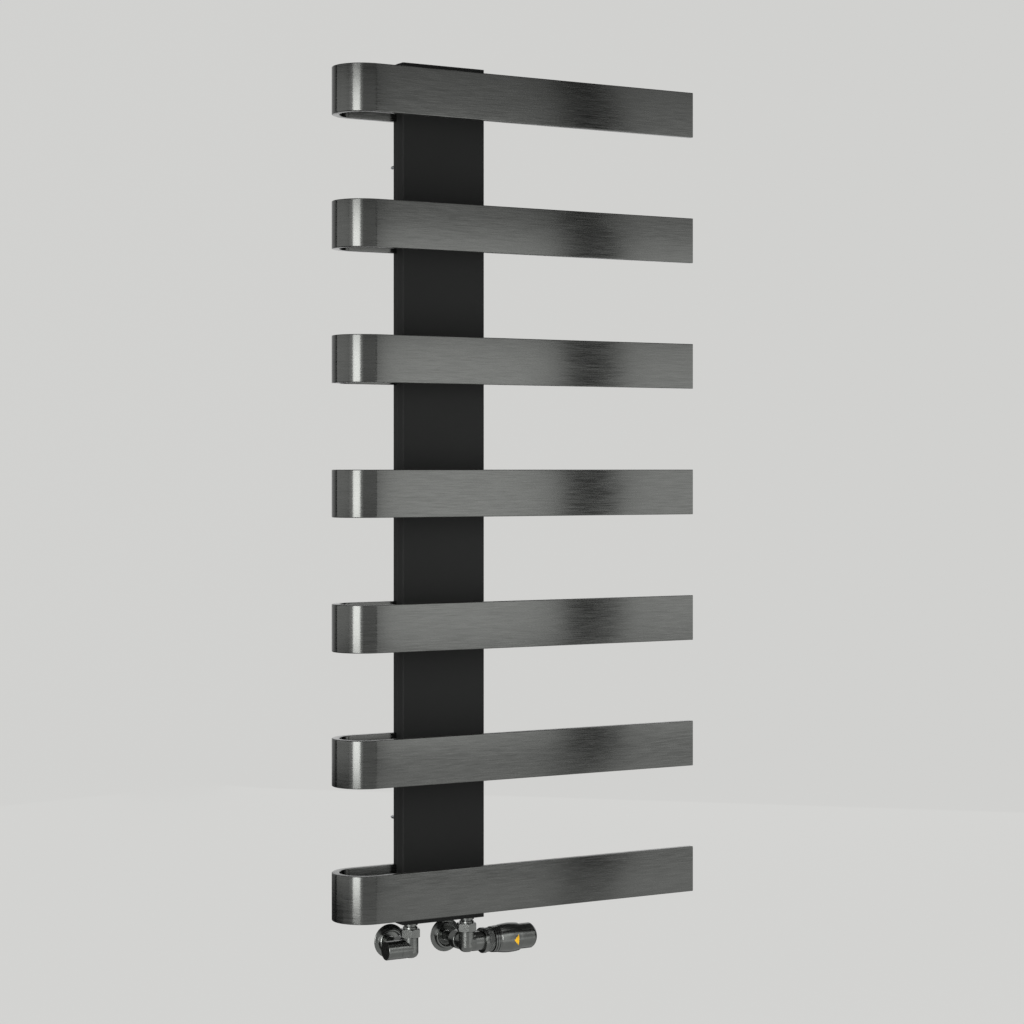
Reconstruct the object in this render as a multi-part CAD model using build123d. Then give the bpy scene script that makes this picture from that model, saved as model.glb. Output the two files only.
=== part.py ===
"""Wall-hung hydronic towel radiator: seven J-shaped flat bars on one flat column, with two corner valves.

Frame: millimetres, +X to the free ends of the bars, +Y into the wall, +Z up.
The origin is the middle of the four wall fixings, on the wall's face.
"""
from build123d import *
import math
import os

# ---- driving dimensions -------------------------------------------------------------------------
BAR_COUNT = 7
BAR_PITCH = 197.0
BAR_HEIGHT = 70.0
BAR_THICKNESS = 11.0
BAR_WALL = 1.5
BAR_CORNER = 1.2
BEND_RADIUS = 46.0            # outside of the bend
FRONT_LEG = 556.0             # straight length of the front leg, end cap included
END_CAP = 2.0
STUB_IN = 3.0                 # how far a back leg stands inside the column
BEND_TO_COLUMN = 143.5        # bend centre to column centre, along X

COLUMN_WIDTH = 140.0
COLUMN_DEPTH = 34.0
COLUMN_WALL = 2.0
COLUMN_CORNER = 2.5
REAR_DRAFT = 1.5              # the rear shell is this much narrower per side at its back
SEAM_CHAMFER = 0.6
TOP_OVERHANG = 16.0
BOTTOM_OVERHANG = 18.0
CLOSING_PLATE = 3.0
DIVIDER = 2.0
DIVIDER_TOP_GAP = 60.0

FRONT_TO_WALL = 145.0         # front faces of the bars to the wall

FIXING_SPACING_X = 50.0
FIXING_SPACING_Z = 1000.0
BUSH_RADIUS = 12.0
BUSH_LENGTH = 42.0
BUSH_BASE = 5.0
PEG_RADIUS = 6.0
PEG_LENGTH = 41.0
SCREW_RADIUS = 2.5
SCREW_IN_WALL = 40.0
SCREW_NECK_RADIUS = 2.8       # plain shank under the head, through the bush's base
SCREW_HEAD_RADIUS = 4.5
SCREW_HEAD = 3.0
GRUB_RADIUS = 2.5

PORT_SPACING = 97.0
PORT_THREAD = 10.4            # G1/2
PORT_BORE = 6.5
BOSS_RADIUS = 13.0
BOSS_DEPTH = 15.0

PIPE_RADIUS = 7.5
PIPE_WALL = 1.0
PIPE_BEHIND_WALL = 30.0
PIPE_GROOVE = (7.1, 1.0, 3.0)  # rolled depth mark: radius, start and end behind the wall's face
AXIS_DROP = 39.0              # column bottom to the valves' horizontal axes

VENT_DROP = 34.0              # column top to the air vent
VENT_THREAD = 6.5

FIT = 0.05                    # radial clearance of a running fit
AIR = 0.3                     # room between pieces that move past each other

# ---- derived places -----------------------------------------------------------------------------
BAR_FRONT_Y = -FRONT_TO_WALL
BEND_CENTRE = (-BEND_TO_COLUMN, BAR_FRONT_Y + BEND_RADIUS)
LEG_BACK_Y = BAR_FRONT_Y + 2 * BEND_RADIUS
COLUMN_BACK_Y = LEG_BACK_Y + COLUMN_WALL
COLUMN_FRONT_Y = COLUMN_BACK_Y - COLUMN_DEPTH
SEAM_Y = (COLUMN_FRONT_Y + COLUMN_BACK_Y) / 2
STACK_HALF = (BAR_COUNT - 1) * BAR_PITCH / 2 + BAR_HEIGHT / 2
COLUMN_TOP = STACK_HALF + TOP_OVERHANG
COLUMN_BOTTOM = -STACK_HALF - BOTTOM_OVERHANG
AXIS_Z = COLUMN_BOTTOM - AXIS_DROP
HALF_WIDTH = COLUMN_WIDTH / 2
FROM_BASE = (Align.CENTER, Align.CENTER, Align.MIN)


# ---- small helpers ------------------------------------------------------------------------------
def save(node, shape):
    """Write one sub-part under its node name."""
    shape.label = node
    export_step(shape, f"parts/{node}.step")


def rod_x(radius, x0, x1):
    """A solid cylinder along X."""
    return Pos(x0, 0, 0) * Rot(0, 90, 0) * Cylinder(radius, x1 - x0, align=FROM_BASE)


def rod_y(radius, y0, y1):
    """A solid cylinder along Y."""
    return Pos(0, y0, 0) * Rot(-90, 0, 0) * Cylinder(radius, y1 - y0, align=FROM_BASE)


def rod_z(radius, z0, z1):
    """A solid cylinder along Z."""
    return Pos(0, 0, z0) * Cylinder(radius, z1 - z0, align=FROM_BASE)


def hex_prism(across_flats, length):
    """A hexagonal bar along Z from 0, its corners rounded off by a cone at both ends."""
    corner = across_flats / math.sqrt(3)
    bar = extrude(RegularPolygon(corner, 6), length)
    relief = rod_z(corner, 0, length)
    relief = chamfer(relief.edges().filter_by(GeomType.CIRCLE), length=1.0, length2=1.6)
    return bar & relief


def placed(shape, x=0.0, y=0.0, z=0.0):
    """The shape moved from its own zero to a place."""
    return Pos(x, y, z) * shape


# ---- bars ---------------------------------------------------------------------------------------
def tube_face(inset):
    """The flat tube's rounded outline, shrunk by the inset, in the YZ plane at the origin."""
    radius = max(BAR_CORNER - inset, 0.3)
    return Plane.YZ * RectangleRounded(BAR_THICKNESS - 2 * inset, BAR_HEIGHT - 2 * inset, radius)


def j_solid(inset):
    """A bar as a solid of its own outline shrunk by the inset: front leg, half-circle bend, back leg."""
    cx, cy = BEND_CENTRE
    middle = BEND_RADIUS - BAR_THICKNESS / 2
    front_face = Pos(cx, cy - middle, 0) * tube_face(inset)
    back_face = Pos(cx, cy + middle, 0) * tube_face(inset)
    front = extrude(front_face, FRONT_LEG - END_CAP, dir=(1, 0, 0))
    back = extrude(back_face, BEND_TO_COLUMN - HALF_WIDTH + COLUMN_WALL + STUB_IN, dir=(1, 0, 0))
    bend = revolve(front_face, Axis((cx, cy, 0), (0, 0, -1)), 180)
    return front + bend + back


def end_cap():
    """The plate welded on a front leg's free end."""
    cx, cy = BEND_CENTRE
    middle = BEND_RADIUS - BAR_THICKNESS / 2
    face = Pos(cx + FRONT_LEG - END_CAP, cy - middle, 0) * tube_face(0)
    plate = extrude(face, END_CAP, dir=(1, 0, 0))
    return chamfer(plate.faces().sort_by(Axis.X)[-1].edges(), 0.3)


def bar_heights():
    """The bars' middle heights, from the top bar down."""
    top = (BAR_COUNT - 1) * BAR_PITCH / 2
    return [top - i * BAR_PITCH for i in range(BAR_COUNT)]


# ---- column -------------------------------------------------------------------------------------
def shell_outline(inset):
    """Half outlines of the column, front and rear, each shrunk by the inset: faces in the XY plane."""
    wide = HALF_WIDTH - inset
    narrow = HALF_WIDTH - REAR_DRAFT - inset
    front_y = COLUMN_FRONT_Y + inset
    back_y = COLUMN_BACK_Y - inset
    front = Polyline((-wide, SEAM_Y), (-wide, front_y), (wide, front_y), (wide, SEAM_Y), close=True)
    rear = Polyline((-wide, SEAM_Y), (-narrow, back_y), (narrow, back_y), (wide, SEAM_Y), close=True)
    return make_face(front), make_face(rear)


def rounded_half(face, height, radius, seam_first):
    """A half of the column as a solid, its two long outer corners rounded."""
    solid = extrude(face, height, dir=(0, 0, 1))
    upright = solid.edges().filter_by(Axis.Z).sort_by(Axis.Y)
    corners = upright[2:] if seam_first else upright[:2]
    return fillet(corners, radius)


def column_halves(inset, z0, height):
    """Front and rear halves of the column, shrunk by the inset, from z0 up."""
    front_face, rear_face = shell_outline(inset)
    radius = max(COLUMN_CORNER - inset, 0.5)
    front = placed(rounded_half(front_face, height, radius, False), z=z0)
    rear = placed(rounded_half(rear_face, height, radius, True), z=z0)
    return front, rear


def seam_groove(z0, height):
    """The shallow V left along the weld between the two shells, both sides."""
    groove = Rot(0, 0, 45) * Box(SEAM_CHAMFER * math.sqrt(2), SEAM_CHAMFER * math.sqrt(2), height)
    middle = z0 + height / 2
    return placed(groove, -HALF_WIDTH, SEAM_Y, middle) + placed(groove, HALF_WIDTH, SEAM_Y, middle)


def build_column():
    """The two pressed shells, the closing plates, the flow divider and the threaded bosses."""
    z0 = COLUMN_BOTTOM + CLOSING_PLATE
    height = COLUMN_TOP - CLOSING_PLATE - z0
    outer_front, outer_rear = column_halves(0, z0, height)
    inner_front, inner_rear = column_halves(COLUMN_WALL, z0, height)
    groove = seam_groove(z0, height)
    rear = outer_rear - inner_rear - groove
    for z in bar_heights():
        rear -= placed(j_solid(0), z=z)
    for x, z in fixing_places():
        rear -= placed(rod_y(PEG_RADIUS, COLUMN_BACK_Y - COLUMN_WALL, COLUMN_BACK_Y), x, 0, z)
    vent_hole = rod_y(BOSS_RADIUS, COLUMN_BACK_Y - COLUMN_WALL, COLUMN_BACK_Y)
    rear -= placed(vent_hole, z=COLUMN_TOP - VENT_DROP)
    save("column_front_shell", outer_front - inner_front - groove)
    save("column_rear_shell", rear)

    top_front, top_rear = column_halves(0, COLUMN_TOP - CLOSING_PLATE, CLOSING_PLATE)
    save("column_top_plate", top_front + top_rear)
    low_front, low_rear = column_halves(0, COLUMN_BOTTOM, CLOSING_PLATE)
    bottom = low_front + low_rear
    for x in (-PORT_SPACING / 2, PORT_SPACING / 2):
        bottom -= placed(rod_z(BOSS_RADIUS, COLUMN_BOTTOM, COLUMN_BOTTOM + CLOSING_PLATE), x, SEAM_Y)
    save("column_bottom_plate", bottom)

    divider_depth = COLUMN_DEPTH - 2 * COLUMN_WALL
    divider_height = height - DIVIDER_TOP_GAP
    divider = Box(DIVIDER, divider_depth, divider_height)
    save("flow_divider", placed(divider, 0, SEAM_Y, z0 + divider_height / 2))

    boss = rod_z(BOSS_RADIUS, 0, BOSS_DEPTH) - rod_z(PORT_THREAD, 0, BOSS_DEPTH)
    save("return_boss", placed(boss, -PORT_SPACING / 2, SEAM_Y, COLUMN_BOTTOM))
    save("supply_boss", placed(boss, PORT_SPACING / 2, SEAM_Y, COLUMN_BOTTOM))


# ---- air vent -----------------------------------------------------------------------------------
VENT_BOSS_DEPTH = 12.0
VENT_PLUG_DEPTH = 10.0
VENT_SEAL_RADIUS = 10.0
VENT_SEAL_THICKNESS = 1.5
VENT_FLATS = 20.0
VENT_HEAD_END = 7.5           # all ends are measured out from the column's back
VENT_NOSE_RADIUS = 4.5
VENT_NOSE_END = 12.0
WATER_WAY_RADIUS = 1.5
BLEED_RADIUS = 2.5
BLEED_SEAT = 3.0              # depth of the screw's seat in the plug
BLEED_STEM_START = 1.5
BLEED_STEM_END = 11.0
BLEED_TIP = (1.2, 1.2)        # end radius, length
BLEED_KEY = (3.4, 5.0)        # square, length
BLEED_SLOT = (4.0, 1.2, 0.8)


def build_vent():
    """Vent boss, plug, sealing ring and bleed screw, on the column's back near its top."""
    z = COLUMN_TOP - VENT_DROP
    face = COLUMN_BACK_Y
    seal_end = face + VENT_SEAL_THICKNESS
    nose_end = face + VENT_NOSE_END
    seat = face - BLEED_SEAT
    bottom = face - VENT_PLUG_DEPTH
    boss = rod_y(BOSS_RADIUS, face - VENT_BOSS_DEPTH, face) - rod_y(VENT_THREAD, face - VENT_BOSS_DEPTH, face)
    seal = rod_y(VENT_SEAL_RADIUS, face, seal_end) - rod_y(VENT_THREAD, face, seal_end)
    head = placed(Rot(-90, 0, 0) * hex_prism(VENT_FLATS, VENT_HEAD_END - VENT_SEAL_THICKNESS), y=seal_end)
    nose = rod_y(VENT_NOSE_RADIUS, face + VENT_HEAD_END, nose_end)
    plug = rod_y(VENT_THREAD, bottom, seal_end) + head + nose
    plug -= rod_y(BLEED_RADIUS + FIT, seat, nose_end) + rod_y(WATER_WAY_RADIUS, bottom, seat)
    stem_end = face + BLEED_STEM_END
    stem = rod_y(BLEED_RADIUS, face - BLEED_STEM_START, stem_end)
    tip = Rot(90, 0, 0) * Cone(BLEED_RADIUS, *BLEED_TIP, align=FROM_BASE)
    square, key_length = BLEED_KEY
    key_end = placed(Box(square, key_length, square), y=stem_end + key_length / 2)
    slot = placed(Box(*BLEED_SLOT), y=stem_end + key_length - BLEED_SLOT[1] / 2)
    screw = stem + placed(tip, y=face - BLEED_STEM_START) + key_end - slot
    save("vent_boss", placed(boss, z=z))
    save("vent_seal", placed(seal, z=z))
    save("vent_plug", placed(plug, z=z))
    save("bleed_screw", placed(screw, z=z))


# ---- wall fixings -------------------------------------------------------------------------------
EDGE_BREAK = 0.8
GRUB_INSET = 8.0              # grub screw's distance from the bush's open end
GRUB_PROUD = 1.0
GRUB_SOCKET = (1.4, 3.0)      # corner radius, depth
SCREW_POINT = 6.0
SCREW_TIP_RADIUS = 0.4
SCREW_HEAD_ROUND = 1.2
CROSS_SLOT = (1.2, 6.0, 3.2)  # width, length, depth twice over


def fixing_places():
    """The X and Z of the four wall fixings, top left first."""
    half_x = FIXING_SPACING_X / 2
    half_z = FIXING_SPACING_Z / 2
    return [(-half_x, half_z), (half_x, half_z), (-half_x, -half_z), (half_x, -half_z)]


def wall_bush():
    """A round bush: closed base at the wall with a screw hole, bore for the peg, grub screw hole below."""
    bush = rod_y(BUSH_RADIUS, -BUSH_LENGTH, 0)
    bush = chamfer(bush.edges().filter_by(GeomType.CIRCLE), EDGE_BREAK)
    bush -= rod_y(PEG_RADIUS + AIR, -BUSH_LENGTH, -BUSH_BASE)
    bush -= rod_y(SCREW_NECK_RADIUS, -BUSH_BASE, 0)
    return bush - placed(rod_z(GRUB_RADIUS, -BUSH_RADIUS, 0), y=-BUSH_LENGTH + GRUB_INSET)


def wall_screw():
    """A pan-head wall screw through the bush's base, its plain shank and point in the wall."""
    head_start = -BUSH_BASE - SCREW_HEAD
    shank_end = SCREW_IN_WALL - SCREW_POINT
    width, length, depth = CROSS_SLOT
    head = rod_y(SCREW_HEAD_RADIUS, head_start, -BUSH_BASE)
    head = fillet(head.faces().sort_by(Axis.Y)[0].edges(), SCREW_HEAD_ROUND)
    head -= placed(Box(width, depth, length) + Box(length, depth, width), y=head_start)
    tip = Rot(-90, 0, 0) * Cone(SCREW_RADIUS, SCREW_TIP_RADIUS, SCREW_POINT, align=FROM_BASE)
    neck = rod_y(SCREW_NECK_RADIUS, -BUSH_BASE, 0)
    return head + neck + rod_y(SCREW_RADIUS, 0, shank_end) + placed(tip, y=shank_end)


def grub_screw():
    """A socket set screw that locks the peg, pointing up from under the bush."""
    low = -BUSH_RADIUS - GRUB_PROUD
    corner, depth = GRUB_SOCKET
    socket = placed(extrude(RegularPolygon(corner, 6), depth), z=low)
    return placed(rod_z(GRUB_RADIUS, low, -PEG_RADIUS) - socket, y=-BUSH_LENGTH + GRUB_INSET)


def build_fixings():
    """Four bushes, and the pegs, wall screws and grub screws as one group each."""
    names = ["wall_bush_top_left", "wall_bush_top_right", "wall_bush_bottom_left", "wall_bush_bottom_right"]
    peg = rod_y(PEG_RADIUS, COLUMN_BACK_Y - COLUMN_WALL, COLUMN_BACK_Y + PEG_LENGTH)
    peg = chamfer(peg.faces().sort_by(Axis.Y)[-1].edges(), 1.0)
    pegs = []
    screws = []
    grubs = []
    for name, (x, z) in zip(names, fixing_places()):
        save(name, placed(wall_bush(), x, 0, z))
        pegs.append(placed(peg, x, 0, z))
        screws.append(placed(wall_screw(), x, 0, z))
        grubs.append(placed(grub_screw(), x, 0, z))
    save("bracket_pegs", Compound(pegs))
    save("wall_screws", Compound(screws))
    save("grub_screws", Compound(grubs))


# ---- valves: shared pieces, drawn about the crossing of the upright and the pipe axis ------------
COLUMN_FACE = AXIS_DROP
BODY_RADIUS = 12.3
BODY_TOP = 16.0
BODY_ROUND = 9.0
ARM_FLARE = 10.0              # length over which an arm widens from the upright's radius to its own
SPIGOT_TOP = 22.0
SPIGOT_RADIUS = 11.6
UNION_NUT_FLATS = 27.0
UNION_NUT = (17.0, 29.6)
UNION_SHOULDER = (10.8, 33.2)
BRANCH = 16.0
BRANCH_THREAD = (10.5, 26.0)
PIPE_START = 18.0
PIPE_NUT = (16.8, 34.0)
PIPE_NUT_RADIUS = 14.0
PIPE_NUT_ROUND = 1.5
WALL_Y = -SEAM_Y
TAIL_THREAD = 12.0
TAIL_COLLAR = (11.2, 3.5)     # radius, thickness under the column
TAIL_NECK_RADIUS = 9.0
TAIL_SEAT = (11.4, 23.5, 26.5)
UNION_NUT_TURN = 12.0         # degrees about the upright
UNION_ROUND = 1.0
UNION_SEAL_RADIUS = 10.0
OLIVE = (8.3, 9.4, 3.0)       # end radius, middle radius, half length
PIPE_NUT_WEB = 2.0
ROSETTE_RADIUS = 25.7
ROSETTE_HEIGHT = 9.5


def tail_piece():
    """The threaded tail between the column and the union nut, with its collar and seat flange."""
    collar_radius, collar = TAIL_COLLAR
    seat_radius, seat, seat_top = TAIL_SEAT
    solid = rod_z(PORT_THREAD, COLUMN_FACE, COLUMN_FACE + TAIL_THREAD)
    solid += rod_z(collar_radius, COLUMN_FACE - collar, COLUMN_FACE)
    solid += rod_z(TAIL_NECK_RADIUS, seat_top, COLUMN_FACE - collar)
    solid += rod_z(seat_radius, seat, seat_top)
    return solid - rod_z(PORT_BORE, seat, COLUMN_FACE + TAIL_THREAD)


def union_nut():
    """Hexagon nut with a stepped shoulder; it clamps the tail piece down on the valve body."""
    low, high = UNION_NUT
    shoulder_radius, top = UNION_SHOULDER
    seat_top = TAIL_SEAT[2]
    hexagon = placed(Rot(0, 0, UNION_NUT_TURN) * hex_prism(UNION_NUT_FLATS, high - low), z=low)
    shoulder = rod_z(shoulder_radius, high, top)
    shoulder = fillet(shoulder.faces().sort_by(Axis.Z)[-1].edges(), UNION_ROUND)
    return hexagon + shoulder - rod_z(SPIGOT_RADIUS, low, seat_top) - rod_z(TAIL_NECK_RADIUS, seat_top, top)


def union_seal():
    """The flat ring between the tail piece and the valve body."""
    seat = TAIL_SEAT[1]
    return rod_z(UNION_SEAL_RADIUS, SPIGOT_TOP, seat) - rod_z(PORT_BORE, SPIGOT_TOP, seat)


def pipe_nut():
    """The smooth round compression nut on the pipe."""
    start, end = PIPE_NUT
    thread_radius, _ = BRANCH_THREAD
    nut = rod_y(PIPE_NUT_RADIUS, start, end)
    nut = fillet(nut.edges().filter_by(GeomType.CIRCLE), PIPE_NUT_ROUND)
    web = end - PIPE_NUT_WEB
    return nut - rod_y(thread_radius, start, web) - rod_y(PIPE_RADIUS, web, end)


def pipe_olive():
    """The two-coned ring that the compression nut squeezes on the pipe."""
    _, thread_end = BRANCH_THREAD
    end_radius, middle_radius, half = OLIVE
    cone = Cone(end_radius, middle_radius, half, align=FROM_BASE)
    end = thread_end + 2 * half
    first = placed(Rot(-90, 0, 0) * cone, y=thread_end)
    second = placed(Rot(90, 0, 0) * cone, y=end)
    return first + second - rod_y(PIPE_RADIUS, thread_end, end)


def pipe_stub():
    """The pipe from the valve body through the rosette into the wall."""
    end = WALL_Y + PIPE_BEHIND_WALL
    groove_radius, near, far = PIPE_GROOVE
    groove = rod_y(PIPE_RADIUS + AIR, WALL_Y + near, WALL_Y + far)
    groove -= rod_y(groove_radius, WALL_Y + near, WALL_Y + far)
    return rod_y(PIPE_RADIUS, PIPE_START, end) - rod_y(PIPE_RADIUS - PIPE_WALL, PIPE_START, end) - groove


def rosette():
    """The pressed cover ring on the wall: flat edge, coned flank, rolled rim and a sunk middle."""
    h = ROSETTE_HEIGHT
    hole = PIPE_RADIUS + AIR
    skin = 1.2
    outer = [(hole, 5.0), (14.8, 5.0), (15.8, h - 1.0), (16.8, h), (18.0, h), (19.2, h - 1.0)]
    outer += [(20.4, 3.4), (ROSETTE_RADIUS - 0.6, 1.6), (ROSETTE_RADIUS, 1.0), (ROSETTE_RADIUS, 0)]
    inner = [(ROSETTE_RADIUS - 1.6, 0), (19.6, 2.0), (18.4, h - 1.6), (16.8, h - skin), (15.9, 4.0)]
    inner += [(15.2, 5.0 - skin), (hole, 5.0 - skin)]
    profile = [(r, WALL_Y - y) for r, y in outer + inner]
    return revolve(make_face(Polyline(profile, close=True)), Axis.Y)


def corner_body(arm_radius, arm_end, arm_bore):
    """A corner valve body: upright with a rounded foot, arm to +X, branch to the wall, and the bores."""
    upright = rod_z(BODY_RADIUS, -arm_radius, BODY_TOP)
    upright = fillet(upright.faces().sort_by(Axis.Z)[0].edges(), BODY_ROUND)
    flare = Rot(0, 90, 0) * Cone(BODY_RADIUS, arm_radius, ARM_FLARE, align=FROM_BASE)
    arm = flare + rod_x(arm_radius, ARM_FLARE, arm_end)
    thread_radius, thread_end = BRANCH_THREAD
    outer = upright + rod_z(SPIGOT_RADIUS, BODY_TOP, SPIGOT_TOP) + arm
    outer += rod_y(BODY_RADIUS, 0, BRANCH) + rod_y(thread_radius, BRANCH, thread_end)
    bores = rod_z(PORT_BORE, 0, SPIGOT_TOP) + rod_y(PORT_BORE, 0, PIPE_START)
    bores += rod_y(PIPE_RADIUS, PIPE_START, thread_end) + rod_x(arm_bore, 0, arm_end)
    return outer - bores


def build_valve_ends(side, x):
    """What both valves share, placed on the port at x; side names the water's way."""
    seat = (x, SEAM_Y, AXIS_Z)
    save(f"{side}_tail_piece", placed(tail_piece(), *seat))
    save(f"{side}_union_nut", placed(union_nut(), *seat))
    save(f"{side}_pipe_nut", placed(pipe_nut(), *seat))
    save(f"{side}_pipe", placed(pipe_stub(), *seat))
    save(f"{side}_rosette", placed(rosette(), *seat))


# ---- lockshield valve, drawn with its arm to +X and turned over to the left ----------------------
SHIELD_RADIUS = 14.0
SHIELD_SEAM = 19.0
SHIELD_END = 42.0
SHIELD_GUIDE = 9.0
SPINDLE_RADIUS = 5.0
SPINDLE_START = 9.0
SPINDLE_CONE = (4.6, 2.6, 3.0)
SPINDLE_KEY = 5.0             # across flats and depth of the socket
SPINDLE_PROUD = 12.0
GUIDE_LENGTH = 8.0
CAP_BREAK = 0.5
CAP_END_WALL = 2.5


def build_lockshield(x):
    """Body, spindle and push-on cap of the lockshield valve."""
    seat = Pos(x, SEAM_Y, AXIS_Z)
    body = corner_body(SHIELD_RADIUS, SHIELD_SEAM, SPINDLE_RADIUS)
    guide_end = SHIELD_SEAM + GUIDE_LENGTH
    body += rod_x(SHIELD_GUIDE, SHIELD_SEAM, guide_end) - rod_x(SPINDLE_RADIUS, SHIELD_SEAM, guide_end)
    spindle_end = SHIELD_SEAM + SPINDLE_PROUD
    cone = Rot(0, -90, 0) * Cone(*SPINDLE_CONE, align=FROM_BASE)
    spindle = rod_x(SPINDLE_RADIUS - FIT, SPINDLE_START, spindle_end) + placed(cone, SPINDLE_START)
    key = extrude(RegularPolygon(SPINDLE_KEY / math.sqrt(3), 6), SPINDLE_KEY)
    spindle -= placed(Rot(0, 90, 0) * key, spindle_end - SPINDLE_KEY)
    cap = rod_x(SHIELD_RADIUS, SHIELD_SEAM + AIR, SHIELD_END)
    cap = chamfer(cap.faces().sort_by(Axis.X)[-1].edges(), CAP_BREAK)
    cap -= rod_x(SHIELD_GUIDE + FIT, SHIELD_SEAM + AIR, SHIELD_END - CAP_END_WALL)
    save("lockshield_body", seat * mirror(body, about=Plane.YZ))
    save("lockshield_spindle", seat * mirror(spindle, about=Plane.YZ))
    save("lockshield_cap", seat * mirror(cap, about=Plane.YZ))


# ---- thermostatic valve, arm and head to +X ------------------------------------------------------
ARM_RADIUS = 14.8
ARM_END = 24.7
INSERT_RADIUS = 8.0
INSERT = (9.0, 33.0)
PIN_RADIUS = 1.5
PIN = (5.5, 36.0)
PIN_FLANGE = (5.0, 1.5)       # radius, thickness
WASHER = (5.6, 2.0)
SENSOR = (13.0, 62.5, 103.0)  # radius, start, end
SENSOR_STEM_RADIUS = 3.0
SENSOR_ROUND = 3.0
COLLAR_THREAD = 14.6
COLLAR_NECK_RADIUS = 12.0
COLLAR_WEB = 38.2             # the web behind the collar's thread starts here
COLLAR_ROUND = 0.8
COLLAR = (24.9, 31.0, 41.5)   # flange start, knurl start, end
FLANGE_RADIUS = 19.3
KNURL_RADIUS = 18.4
KNURL_COUNT = 40
KNURL_DEPTH = 0.8
BODY_THREAD_END = 35.0
HEAD_BASE = (36.4, 38.2, 42.0, 51.7, 60.0)
HEAD_BASE_FLANGE_RADIUS = 14.2
HEAD_BASE_NECK_RADIUS = 11.9
HEAD_BASE_BORE = 8.0
HEAD_BASE_LANDS = [           # radius, start, end of each still ring
    (19.6, 42.0, 44.4),
    (18.5, 44.4, 45.4),
    (19.9, 45.4, 48.4),
    (18.7, 48.4, 49.2),
    (20.2, 49.2, 51.7),
]
HANDLE = (52.0, 88.0, 118.5)  # start, step, end
HANDLE_START_RADIUS = 20.4
HANDLE_BULGE_RADIUS = 22.4
HANDLE_STEP_RADIUS = 21.3
HANDLE_END_RADIUS = 19.3
HANDLE_BULGE_X = 72.0
HANDLE_LEAD = 1.0
DOME_START = 8.0              # measured back from the handle's end
DOME_MIDDLE = (2.6, 14.6)     # back from the end, radius
DOME_FLAT_RADIUS = 6.0
HANDLE_BORE = 16.9
HANDLE_BORE_END = 107.0
MARKER_TURN = 3.0             # degrees below the front
MARKER_BASE_X = 80.0
MARKER = (8.5, 17.0, 1.2)     # length, width of its base, depth


def knurled_ring(radius, count, depth, x0, x1):
    """A ring with straight V ridges along X."""
    points = []
    for i in range(2 * count):
        angle = math.pi * i / count
        r = radius if i % 2 == 0 else radius - depth
        points.append((r * math.cos(angle), r * math.sin(angle)))
    ridges = extrude(make_face(Polyline(points, close=True)), x1 - x0)
    return placed(Rot(0, 90, 0) * ridges, x0)


def collar_nut():
    """The nut that clamps the head on the valve: smooth flange, knurled grip, web at the far end."""
    start, knurl, end = COLLAR
    flange = rod_x(FLANGE_RADIUS, start, knurl)
    flange = fillet(flange.edges().filter_by(GeomType.CIRCLE), COLLAR_ROUND)
    grip = knurled_ring(KNURL_RADIUS, KNURL_COUNT, KNURL_DEPTH, knurl - 1, end)
    bore = rod_x(COLLAR_THREAD, start, COLLAR_WEB) + rod_x(COLLAR_NECK_RADIUS, COLLAR_WEB, end)
    return flange + grip - bore


def head_base():
    """The still part of the head: trapped flange, neck, smooth rings and the sleeve inside the handle."""
    flange, neck, rings, ring_end, sleeve_end = HEAD_BASE
    solid = rod_x(HEAD_BASE_FLANGE_RADIUS, flange, neck) + rod_x(HEAD_BASE_NECK_RADIUS, neck, rings)
    for radius, x0, x1 in HEAD_BASE_LANDS:
        solid += rod_x(radius, x0, x1)
    solid += rod_x(HANDLE_BORE - AIR, ring_end, sleeve_end)
    return solid - rod_x(HEAD_BASE_BORE, flange, sleeve_end)


def marker_prism():
    """The three-cornered setting mark in the barrel's skin, pointing to the valve."""
    length, width, depth = MARKER
    base = MARKER_BASE_X
    outline = Polyline((base - length, 0), (base, width / 2), (base, -width / 2), close=True)
    block = extrude(make_face(Plane.XZ * outline), HANDLE_BULGE_RADIUS + 5, dir=(0, -1, 0))
    floor = rod_x(HANDLE_BULGE_RADIUS - depth, base - length - 1, base + 1)
    return Rot(MARKER_TURN, 0, 0) * (block - floor)


def handle_envelope():
    """The handle's outside: bulged barrel, step and a domed end."""
    start, step, end = HANDLE
    side = end - DOME_START
    lead = start + HANDLE_LEAD
    bulge = (HANDLE_BULGE_X, HANDLE_BULGE_RADIUS)
    barrel = ThreePointArc((lead, HANDLE_START_RADIUS), bulge, (step, HANDLE_STEP_RADIUS))
    front = Polyline((start, 0), (start, HANDLE_START_RADIUS - HANDLE_LEAD), (lead, HANDLE_START_RADIUS))
    ledge = Polyline((step, HANDLE_STEP_RADIUS), (step, HANDLE_END_RADIUS), (side, HANDLE_END_RADIUS))
    back, middle_radius = DOME_MIDDLE
    dome = ThreePointArc((side, HANDLE_END_RADIUS), (end - back, middle_radius), (end, DOME_FLAT_RADIUS))
    close = Polyline((end, DOME_FLAT_RADIUS), (end, 0), (start, 0))
    face = make_face(front + barrel + ledge + dome + close)
    return revolve(face, Axis.X)


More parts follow.
